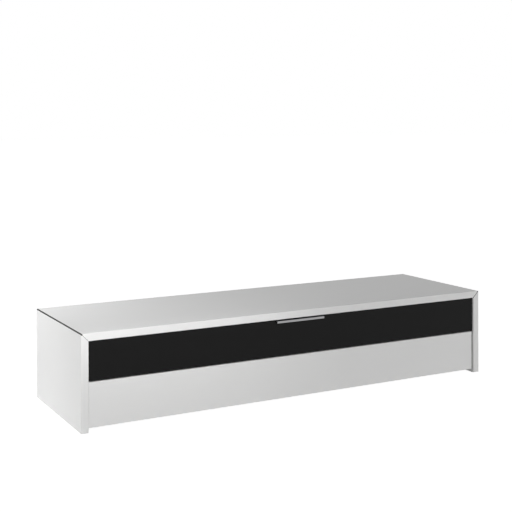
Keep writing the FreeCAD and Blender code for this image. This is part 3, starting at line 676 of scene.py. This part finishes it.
@dataclass
class FinishBook:
    """All finishes by the name of their slot, and the materials made from them."""

    finishes: dict[str, Finish]
    made: dict[str, bpy.types.Material] = field(default_factory=dict)

    def material(self, slot: str) -> bpy.types.Material:
        """Gives the material of a slot, built at its first use.

        Args:
            slot: The slot's name.

        Returns:
            The material, which has the slot's name.
        """
        if slot not in self.made:
            for old in [m for m in bpy.data.materials if m.name == slot]:
                old.name = slot + "_packed"
            self.made[slot] = self.finishes[slot].build(slot)
        return self.made[slot]

    def dress_nodes(self, slots: dict[str, str]) -> None:
        """Puts the finishes on the CAD nodes.

        Args:
            slots: The slot of each node.
        """
        for node, slot in slots.items():
            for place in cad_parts[node].material_slots:
                place.material = self.material(slot)
            LOG.info("%s: %s", node, slot)


WHITE = (0.80, 0.80, 0.795)
FINISHES = FinishBook(
    {
        "white_gloss_lacquer": Finish(
            WHITE, (0.785, 0.785, 0.78), Pattern.RIPPLE, 260.0,
            depth=0.000004, rough=(0.16, 0.22), coat=0.6, specular=0.0, dust=0.02,
        ),
        "black_glass": Finish(
            (0.004, 0.004, 0.004), (0.006, 0.006, 0.006), Pattern.GLASS, 9.0,
            depth=0.000002, rough=(0.03, 0.06), specular=0.12, dust=0.02,
        ),
        "black_panel": Finish(
            (0.012, 0.012, 0.012), (0.018, 0.018, 0.018), Pattern.PORES, 700.0,
            depth=0.00003, rough=(0.42, 0.55),
        ),
        "white_board": Finish(
            WHITE, (0.76, 0.76, 0.75), Pattern.PORES, 650.0, depth=0.00003, rough=(0.42, 0.55)
        ),
        "drawer_board": Finish(
            (0.62, 0.62, 0.61), (0.57, 0.57, 0.56), Pattern.PORES, 600.0, rough=(0.45, 0.6)
        ),
        "satin_aluminium": Finish(
            (0.36, 0.36, 0.365), (0.31, 0.31, 0.315), Pattern.BRUSHED, 2400.0,
            depth=0.00001, metallic=1.0, rough=(0.26, 0.36), dust=0.05,
        ),
        "zinc_plated_steel": Finish(
            (0.56, 0.57, 0.60), (0.46, 0.48, 0.52), Pattern.PLATED, 500.0,
            depth=0.00001, metallic=1.0, rough=(0.28, 0.42),
        ),
        "nickel_plated_steel": Finish(
            (0.66, 0.63, 0.58), (0.60, 0.57, 0.52), Pattern.PLATED, 420.0,
            depth=0.00001, metallic=1.0, rough=(0.18, 0.3),
        ),
        "black_plastic": Finish(
            (0.02, 0.02, 0.02), (0.028, 0.028, 0.028), Pattern.MOULDED, 1800.0,
            rough=(0.55, 0.7), specular=0.2,
        ),
        "grey_plastic": Finish(
            (0.24, 0.24, 0.25), (0.21, 0.21, 0.22), Pattern.MOULDED, 1500.0, rough=(0.4, 0.55)
        ),
        "beech_wood": Finish(
            (0.60, 0.42, 0.27), (0.52, 0.34, 0.20), Pattern.TIMBER, 260.0,
            depth=0.00005, rough=(0.5, 0.65),
        ),
    }
)


# The cabinet


@dataclass
class MitredFrame:
    """The top board and the two side boards, with a fine groove along each mitre."""

    half_width: float = 900 * MM
    front: float = -268.5 * MM
    back: float = 271.5 * MM
    height: float = 355 * MM
    foot: float = 3 * MM
    board: float = 28 * MM
    easing: float = 0.7 * MM
    corner_groove: float = 5.6 * MM
    front_grooves: tuple[float, float] = (1.1 * MM, 2.8 * MM)
    groove_depth: float = 5 * MM
    # The black strips in the mitre grooves are painted shade that darkens the grooves
    strip_sink: float = 1.9 * MM
    strip_easing: float = 0.3 * MM
    front_sink: float = 0.4 * MM
    slot_front: float = 253.5 * MM
    slot_back: float = 259.5 * MM
    slot_depth: float = 7 * MM
    slot_low: float = 20.5 * MM
    spare: float = 5 * MM
    recess: float = 8 * MM
    # Black strips on the side boards' inner faces, beside the two fronts, are painted shade that
    # darkens these gaps
    gap_shade_width: float = 0.8 * MM
    gap_shade_depth: float = 14 * MM
    gap_shade_sink: float = 0.5 * MM
    gap_shade_low: float = 14.5 * MM
    gap_shade_easing: float = 0.2 * MM

    @property
    def inside(self) -> float:
        """The distance from the middle to a side board's inner face."""
        return self.half_width - self.board

    @property
    def under_top(self) -> float:
        """The height of the top board's lower face."""
        return self.height - self.board

    def outer_edge(self, middle: Vector, way: Vector) -> bool:
        """Finds the cabinet's outer lines, where the lacquer is eased.

        Args:
            middle: An edge's middle.
            way: Its direction.

        Returns:
            Whether the edge lies on one of them.
        """
        if abs(middle.z - self.foot) < CLOSE:
            return abs(way.y) > PARALLEL
        on_face = min(abs(middle.y - self.front), abs(middle.y - self.back)) < CLOSE
        return on_face and abs(way.y) < SQUARE

    def slab(
        self, side: Side, span: tuple[float, float], outer: float, inner: float, width: float
    ) -> bpy.types.Object:
        """Makes a thin slab on the mitre plane of one corner.

        Args:
            side: The corner.
            span: Where the slab starts and ends, in y.
            outer: How far its outer edge lies in from the cabinet's corner, measured along x.
            inner: How far its inner edge lies in.
            width: Its thickness, square to the mitre.

        Returns:
            The slab.
        """
        half = (inner - outer) / math.sqrt(2)
        thing = block("mitre_slab", (-half, span[0], -width / 2), (half, span[1], width / 2))
        thing.rotation_euler = (0, -MITRE * side.value, 0)
        middle = (outer + inner) / 2
        thing.location = (side.value * (self.half_width - middle), 0, self.height - middle)
        select_only(thing)
        bpy.ops.object.transform_apply(location=True, rotation=True, scale=True)
        return thing

    def front_width(self, side: Side) -> float:
        """Gives the width of a corner's groove on the front, which is tighter at the left."""
        return self.front_grooves[0 if side is Side.LEFT else 1]

    def cut_grooves(self, thing: bpy.types.Object, side: Side) -> None:
        """Cuts the shadow groove of one mitre, along the corner and across the front.

        Args:
            thing: The board.
            side: The corner.
        """
        face = (self.front - self.spare, self.front + self.groove_depth)
        inner = self.board + self.spare
        cut(thing, self.slab(side, face, -self.spare, inner, self.front_width(side)))
        corner = (self.front - self.spare, self.back + self.spare)
        cut(thing, self.slab(side, corner, -self.spare, self.groove_depth, self.corner_groove))

    def strips(self) -> bpy.types.Object:
        """Models the black strips sunk in the grooves of both mitres, with eased outer edges, as
        painted shade that darkens the grooves.

        Returns:
            The four strips as one piece.
        """
        corner = (self.front + self.front_sink, self.back - self.easing)
        face = (self.front + self.front_sink, self.front + self.groove_depth)
        inner = self.board - self.front_sink
        depth = self.groove_depth
        pieces = []
        for side in Side:
            pieces.append(self.slab(side, corner, self.strip_sink, depth, self.corner_groove))
            pieces.append(self.slab(side, face, depth, inner, self.front_width(side)))
        strips = join("mitre_strips", *pieces)
        ease(strips, self.strip_easing, lambda middle, way: abs(way.y) > PARALLEL)
        return strips

    def mitre(self, thing: bpy.types.Object, side: Side, outward: float) -> None:
        """Cuts a board's end along the mitre plane.

        Args:
            thing: The board.
            side: The corner.
            outward: 1 for the top board, whose outer end goes, and -1 for a side board.
        """
        corner = (side.value * self.half_width, 0, self.height)
        bisect(thing, corner, (side.value * outward, 0, -outward))

    def top(self) -> bpy.types.Object:
        """Models the top board.

        Returns:
            The board, with its mitres, its grooves and the slot for the back panel.
        """
        low = (-self.half_width, self.front, self.under_top)
        thing = block("top_board", low, (self.half_width, self.back, self.height))
        for side in Side:
            self.mitre(thing, side, 1)
        ease(thing, self.easing, self.outer_edge)
        for side in Side:
            self.cut_grooves(thing, side)
        end = self.inside + self.slot_depth
        low = (-end, self.slot_front, self.under_top - self.spare)
        high = (end, self.slot_back, self.under_top + self.slot_depth)
        cut(thing, block("slot_tool", low, high))
        return thing

    def side(self, side: Side) -> bpy.types.Object:
        """Models one side board.

        Args:
            side: The end of the cabinet.

        Returns:
            The board, with its mitre, its groove and the slot for the back panel.
        """
        xs = sorted((side.value * self.inside, side.value * self.half_width))
        name = side.name.lower() + "_side_board"
        thing = block(name, (xs[0], self.front, self.foot), (xs[1], self.back, self.height))
        self.mitre(thing, side, -1)
        ease(thing, self.easing, self.outer_edge)
        self.cut_grooves(thing, side)
        ends = (self.inside - self.spare, self.inside + self.slot_depth)
        xs = sorted(side.value * end for end in ends)
        low = (xs[0], self.slot_front, self.slot_low)
        high = (xs[1], self.slot_back, self.under_top + self.slot_depth)
        cut(thing, block("slot_tool", low, high))
        return thing

    def seals(self) -> bpy.types.Object:
        """Models black strips on the side boards in the gaps beside the two fronts, as painted
        shade that darkens these gaps.

        Returns:
            Both strips as one piece.
        """
        # Painted shade: black strips on the gap walls beside the fronts, where there is only shade
        start = self.front + self.recess + self.gap_shade_sink
        pieces = []
        for side in Side:
            xs = sorted((side.value * (self.inside - self.gap_shade_width), side.value * self.inside))
            low = (xs[0], start, self.foot + self.gap_shade_low)
            pieces.append(block("seal", low, (xs[1], start + self.gap_shade_depth, self.under_top)))
        seals = join("dust_seals", *pieces)
        ease(seals, self.gap_shade_easing, lambda middle, way: abs(way.z) > PARALLEL)
        return seals

    def build(self) -> None:
        """Models the three boards, the black strips of painted shade in the mitre grooves and the
        black strips of painted shade in the gaps beside the fronts, and hands them over.
        """
        hand_over(self.top(), "carcass", "white_gloss_lacquer", "top_panel")
        for side in Side:
            node = side.name.lower() + "_side_panel"
            hand_over(self.side(side), "carcass", "white_gloss_lacquer", node)
        # Black strips of painted shade, first in the mitre grooves, then in the gaps beside the
        # fronts
        hand_over(self.strips(), "carcass", "black_plastic")
        hand_over(self.seals(), "carcass", "black_plastic")


@dataclass
class FlapFront:
    """The black glass pane of the flap, and its slim handle."""

    half: float = 869 * MM
    face: float = -260.5 * MM
    glass: float = 4 * MM
    low: float = 182.569 * MM
    high: float = 324 * MM
    arris: float = 0.6 * MM
    handle_half: float = 107 * MM
    handle_front: float = -271.5 * MM
    handle_low: float = 313 * MM
    handle_high: float = 321 * MM
    handle_easing: float = 0.35 * MM
    lip: float = 1.6 * MM
    web: float = 1.8 * MM
    post_radius: float = 3.3 * MM
    post_x: float = 96 * MM
    post_rim: float = 0.6 * MM

    def pane(self) -> bpy.types.Object:
        """Models the pane with its ground edges.

        Returns:
            The pane.
        """
        low = (-self.half, self.face, self.low)
        thing = block("glass_pane", low, (self.half, self.face + self.glass, self.high))
        ease(thing, self.arris, segments=2)
        return thing

    def handle(self) -> bpy.types.Object:
        """Models the handle: a web, a lip that hangs from its front edge and two posts.

        Returns:
            The handle as one piece.
        """
        bar = block(
            "slim_handle",
            (-self.handle_half, self.handle_front, self.handle_high - self.web),
            (self.handle_half, self.face, self.handle_high),
        )
        bisect(bar, (0, self.handle_front + self.lip, 0), (0, 1, 0), keep_all=True)
        drop = self.handle_high - self.web - self.handle_low

        def lip_face(centre: Vector, normal: Vector) -> bool:
            """Says whether a face is the one that the lip hangs from."""
            return normal.z < -PARALLEL and centre.y < self.handle_front + self.lip

        extrude(bar, lip_face, (0, 0, -drop))
        ease(bar, self.handle_easing)
        start = self.handle_front + self.lip / 2
        middle = (self.handle_low + self.handle_high) / 2
        posts = []
        for x in (-self.post_x, self.post_x):
            post = disc("handle_post", (x, start, middle), self.post_radius, self.face - start, "Y")
            inset(post, lambda centre, normal: normal.y > PARALLEL, self.post_rim)
            posts.append(post)
        return join("slim_handle", bar, *posts)

    def build(self) -> None:
        """Models the pane and the handle and hands them over."""
        hand_over(self.pane(), "flap", "black_glass", "flap_glass")
        hand_over(self.handle(), "flap", "satin_aluminium", "handle")


@dataclass
class DrawerFront:
    """The wide white front below the flap."""

    half: float = 869 * MM
    face: float = -260.5 * MM
    rear: float = -241.5 * MM
    low: float = 17.5 * MM
    high: float = 179.569 * MM
    easing: float = 0.8 * MM

    def build(self) -> None:
        """Models the front with eased edges and hands it over."""
        low = (-self.half, self.face, self.low)
        thing = block("drawer_front_board", low, (self.half, self.rear, self.high))
        ease(thing, self.easing)
        hand_over(thing, "drawer", "white_gloss_lacquer", "drawer_front")


@dataclass
class InnerBoards:
    """The boards that show when the flap or the drawer is open, with their visible edges eased."""

    easing: float = 0.6 * MM
    near: float = 0.05 * MM
    front_edged: tuple[str, ...] = ("shelf_panel", "base_panel", "left_divider", "right_divider")
    top_edged: tuple[str, ...] = ("left_drawer_side", "right_drawer_side", "drawer_back")

    def eased(self, node: str, body: str, slot: str, test: Test) -> None:
        """Copies one board, eases the edges that pass the test and hands it over.

        Args:
            node: The CAD node that the copy stands for.
            body: The body that it rides on.
            slot: The material slot.
            test: Says of an edge's middle and direction whether it is eased.
        """
        thing = merged_copy(node, node + "_board")
        ease(thing, self.easing, test, segments=2)
        hand_over(thing, body, slot, node)

    def lies_at(self, axis: int, place: float) -> Test:
        """Gives the test of whether an edge's middle lies at a place along an axis."""
        return lambda middle, way: abs(middle[axis] - place) < self.near

    def build(self) -> None:
        """Makes all eased boards."""
        for node in self.front_edged:
            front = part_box(node)[0].y
            self.eased(node, "carcass", "white_board", self.lies_at(1, front))
        for node in self.top_edged:
            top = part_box(node)[1].z
            self.eased(node, "drawer", "drawer_board", self.lies_at(2, top))
        low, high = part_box("flap_panel")
        half = high[0] - self.near

        def rim(at: Vector, way: Vector) -> bool:
            """Says whether an edge runs along the rim of the panel's inner face."""
            outer = abs(at.x) > half or min(at.z - low[2], high[2] - at.z) < self.near
            return outer and abs(at.y - high[1]) < self.near and abs(way.y) < SQUARE

        self.eased("flap_panel", "flap", "black_panel", rim)


@dataclass
class CableOutlets:
    """The three ring grommets in the back panel."""

    places: tuple[float, ...] = (-587.67 * MM, 0.0, 587.67 * MM)
    z: float = 274.362 * MM
    face: float = 253.5 * MM
    board: float = 6 * MM
    rim_height: float = 2 * MM
    rim: float = 35 * MM
    tube: float = 30 * MM
    hole: float = 28 * MM
    easing: float = 0.7 * MM
    axis_reach: float = 1 * MM

    def ring(self, x: float) -> bpy.types.Object:
        """Models one grommet: a rim, a tube through the panel and a rounded mouth.

        Args:
            x: The place of its axis.

        Returns:
            The grommet.
        """
        start = self.face - self.rim_height
        thing = disc("cable_ring", (x, start, self.z), self.rim, self.rim_height, "Y")

        def on_axis(centre: Vector, normal: Vector) -> bool:
            """Says whether a face is a round end on the ring's axis."""
            aside = Vector((centre.x - x, centre.z - self.z)).length
            return abs(normal.y) > PARALLEL and aside < self.axis_reach

        def rear(centre: Vector, normal: Vector) -> bool:
            """Says whether a face is the round end at the back."""
            return normal.y > 0 and on_axis(centre, normal)

        inset(thing, rear, self.rim - self.tube)
        extrude(thing, rear, (0, self.board, 0))
        inset(thing, rear, self.tube - self.hole)
        inset(thing, lambda centre, normal: normal.y < -PARALLEL, self.rim - self.hole)
        bore(thing, on_axis)
        ease(thing, self.easing, lambda middle, way: middle.y < self.face)
        return thing

    def build(self) -> None:
        """Models the rings and hands them over as one piece."""
        rings = join("cable_rings", *[self.ring(x) for x in self.places])
        hand_over(rings, "carcass", "black_plastic", "cable_grommets")


@dataclass(frozen=True)
class Foot:
    """One kind of round foot: a flat button with a stem, at both ends and perhaps in the middle."""

    node: str
    piece: str
    radius: float
    height: float
    stem: float
    in_middle: bool


@dataclass
class Footing:
    """The glides under the side boards and the feet under the base."""

    glide: Foot = Foot("side_glides", "side_glide_buttons", 9 * MM, 3 * MM, 1.5 * MM, False)
    foot: Foot = Foot("base_feet", "base_foot_buttons", 20 * MM, 6 * MM, 5 * MM, True)
    easing: float = 0.8 * MM
    dish_rim_share: float = 0.35
    dish_depth: float = 0.2 * MM

    def button(self, kind: Foot, centre: Vector) -> bpy.types.Object:
        """Models a flat round button with a rounded sole and a slight dish under it.

        Args:
            kind: The kind of foot.
            centre: The middle of its sole.

        Returns:
            The button.
        """
        thing = disc(kind.piece, centre, kind.radius, kind.height)
        ease(thing, self.easing, lambda middle, way: middle.z < centre.z + kind.height / 2)
        rim = kind.radius * self.dish_rim_share
        inset(thing, lambda at, normal: normal.z < -FLAT, rim, -self.dish_depth)
        return thing

    def from_node(self, kind: Foot) -> bpy.types.Object:
        """Models a node's feet anew, each a button and its stem, in the node's box.

        Args:
            kind: The kind of foot.

        Returns:
            All feet of the kind as one piece.
        """
        low, high = (Vector(corner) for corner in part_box(kind.node))
        xs = [low.x + kind.radius, high.x - kind.radius]
        if kind.in_middle:
            xs.insert(1, 0.0)
        pieces = []
        for x in xs:
            for y in (low.y + kind.radius, high.y - kind.radius):
                pieces.append(self.button(kind, Vector((x, y, low.z))))
                start = (x, y, kind.height)
                pieces.append(disc(kind.piece, start, kind.stem, high.z - kind.height))
        return join(kind.piece, *pieces)

    def build(self) -> None:
        """Models the glides and the feet at their nodes' places and hands them over."""
        for kind in (self.glide, self.foot):
            hand_over(self.from_node(kind), "carcass", "black_plastic", kind.node)


# The stage


@dataclass(frozen=True)
class Lamp:
    """A soft light with a rectangular face. Places and sizes are in metres, the power in watts."""

    name: str
    place: tuple[float, float, float]
    target: tuple[float, float, float]
    size: tuple[float, float]
    power: float

    def hang(self) -> None:
        """Hangs the lamp so that it faces its target, seen neither by the camera nor in gloss."""
        light = bpy.data.lights.new(self.name, "AREA")
        light.shape, light.energy = "RECTANGLE", self.power
        light.size, light.size_y = self.size
        thing = bpy.data.objects.new(self.name, light)
        thing.location = self.place
        thing.rotation_mode = "QUATERNION"
        way = Vector(self.target) - Vector(self.place)
        thing.rotation_quaternion = way.to_track_quat("-Z", "Y")
        thing.visible_camera = False
        thing.visible_glossy = False
        bpy.context.scene.collection.objects.link(thing)
        LOG.info("%s: %.3g W", self.name, self.power)


LAMPS = (
    Lamp("overhead_softbox", (-1.25, 0.5, 1.05), (-0.8, 0.1, 0.35), (0.8, 0.8), 6.8),
    Lamp("side_softbox", (-3.8, 0.5, 1.3), (-0.9, 0.0, 0.2), (2.0, 2.0), 9.5),
    Lamp("front_softbox", (2.4, -4.6, 0.8), (0.2, 0.0, 0.2), (3.0, 1.4), 67.0),
    Lamp("rear_softbox", (-2.6, 4.0, 1.2), (0.0, 0.27, 0.2), (2.0, 1.4), 40.0),
    Lamp("strip_softbox", (-0.6, -0.55, 0.47), (-0.6, -0.27, 0.34), (1.0, 0.1), 0.86),
    Lamp("corner_softbox", (-0.88, -0.5, 0.46), (-0.86, -0.27, 0.34), (0.12, 0.12), 0.138),
)


@dataclass
class Studio:
    """The floor, the lamps, the world and the camera. Angles are in degrees."""

    lamps: tuple[Lamp, ...] = LAMPS
    floor_half: float = 40.0
    camera_place: tuple[float, float, float] = (-2.069, -3.7165, 1.125)
    camera_yaw: float = 28.485
    camera_roll: float = 0.154
    lens: float = 71.87
    sensor: float = 36.0
    shift: float = -0.2768
    room_light: float = 1.25
    room_fall: float = 2.0
    floor_tone: float = 0.9
    floor_shade: float = 0.3
    floor_glow: float = 0.945

    def sight(self, sheet: NodeSheet) -> bpy.types.NodeSocket:
        """Tells what the camera sees, directly or in gloss or glass, from soft light.

        Args:
            sheet: The sheet of the floor or the world.

        Returns:
            1 for what the camera sees and 0 for soft light.
        """
        path = sheet.add("LightPath")
        seen = sheet.maths("MAXIMUM", path.outputs["Is Camera Ray"], path.outputs["Is Glossy Ray"])
        return sheet.maths("MAXIMUM", seen, path.outputs["Is Transmission Ray"])

    def floor(self) -> None:
        """Lays a plain white floor that keeps the cabinet's shadow."""
        bpy.ops.object.select_all(action="DESELECT")
        bpy.ops.mesh.primitive_plane_add(size=2 * self.floor_half)
        floor = bpy.context.object
        floor.name = floor.data.name = "studio_floor"
        material = bpy.data.materials.new("studio_floor")
        material.use_nodes = True
        sheet = NodeSheet(material.node_tree)
        seen = self.sight(sheet)
        glow = sheet.add("Emission", None, Color=(1, 1, 1, 1), Strength=self.floor_glow)
        shade = sheet.add("BsdfDiffuse", None, Color=(*[self.floor_shade] * 3, 1))
        shown = sheet.add("AddShader", None, i0=shade.outputs[0], i1=glow.outputs[0])
        matt = sheet.add("BsdfDiffuse", None, Color=(*[self.floor_tone] * 3, 1))
        both = sheet.add("MixShader", None, i0=seen, i1=matt.outputs[0], i2=shown.outputs[0])
        sheet.add("OutputMaterial", None, Surface=both.outputs[0])
        floor.data.materials.append(material)

    def world(self) -> None:
        """Lights the room softly from all round, less from above, and shows it white."""
        world = bpy.data.worlds.new("studio_world")
        world.use_nodes = True
        bpy.context.scene.world = world
        sheet = NodeSheet(world.node_tree)
        shown = self.sight(sheet)
        way = sheet.add("TexCoord").outputs["Generated"]
        up = sheet.add("SeparateXYZ", None, i0=way).outputs["Z"]
        low = sheet.maths("SUBTRACT", 1.0, sheet.maths("MAXIMUM", up, 0.0), clamp=True)
        soft = sheet.maths("MULTIPLY", sheet.maths("POWER", low, self.room_fall), self.room_light)
        strength = sheet.add("MapRange", None, Value=shown, To_Min=soft, To_Max=1.0)
        light = sheet.add("Background", None, Color=(1, 1, 1, 1), Strength=strength.outputs[0])
        sheet.add("OutputWorld", None, Surface=light.outputs[0])

    def camera(self) -> None:
        """Sets the camera up as the photograph was taken: level, with its frame shifted down."""
        data = bpy.data.cameras.new("photo_camera")
        data.lens, data.sensor_width, data.shift_y = self.lens, self.sensor, self.shift
        thing = bpy.data.objects.new("photo_camera", data)
        thing.location = self.camera_place
        level = 90.0
        angles = (level, self.camera_roll, -self.camera_yaw)
        thing.rotation_euler = [math.radians(angle) for angle in angles]
        bpy.context.scene.collection.objects.link(thing)
        bpy.context.scene.camera = thing

    def build(self) -> None:
        """Sets up the whole stage."""
        self.floor()
        self.world()
        self.camera()
        for lamp in self.lamps:
            lamp.hang()
        bpy.context.scene.view_settings.view_transform = "Standard"
        LOG.info("stage is set")


def packed_slots() -> dict[str, str]:
    """Reads the slot of each CAD node from the material that it was packed with."""
    names = {node: thing.data.materials[0].name for node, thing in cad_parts.items()}
    return {node: name.split(".")[0].removesuffix("_packed") for node, name in names.items()}


def main() -> None:
    """Builds the stage and the cabinet's sub-assemblies in order."""
    logging.basicConfig(level=logging.INFO, format="%(name)s %(message)s")
    Studio().build()
    for assembly in (MitredFrame, FlapFront, DrawerFront, InnerBoards, CableOutlets, Footing):
        assembly().build()
    FINISHES.dress_nodes(packed_slots())


if __name__ == "__main__":
    main()
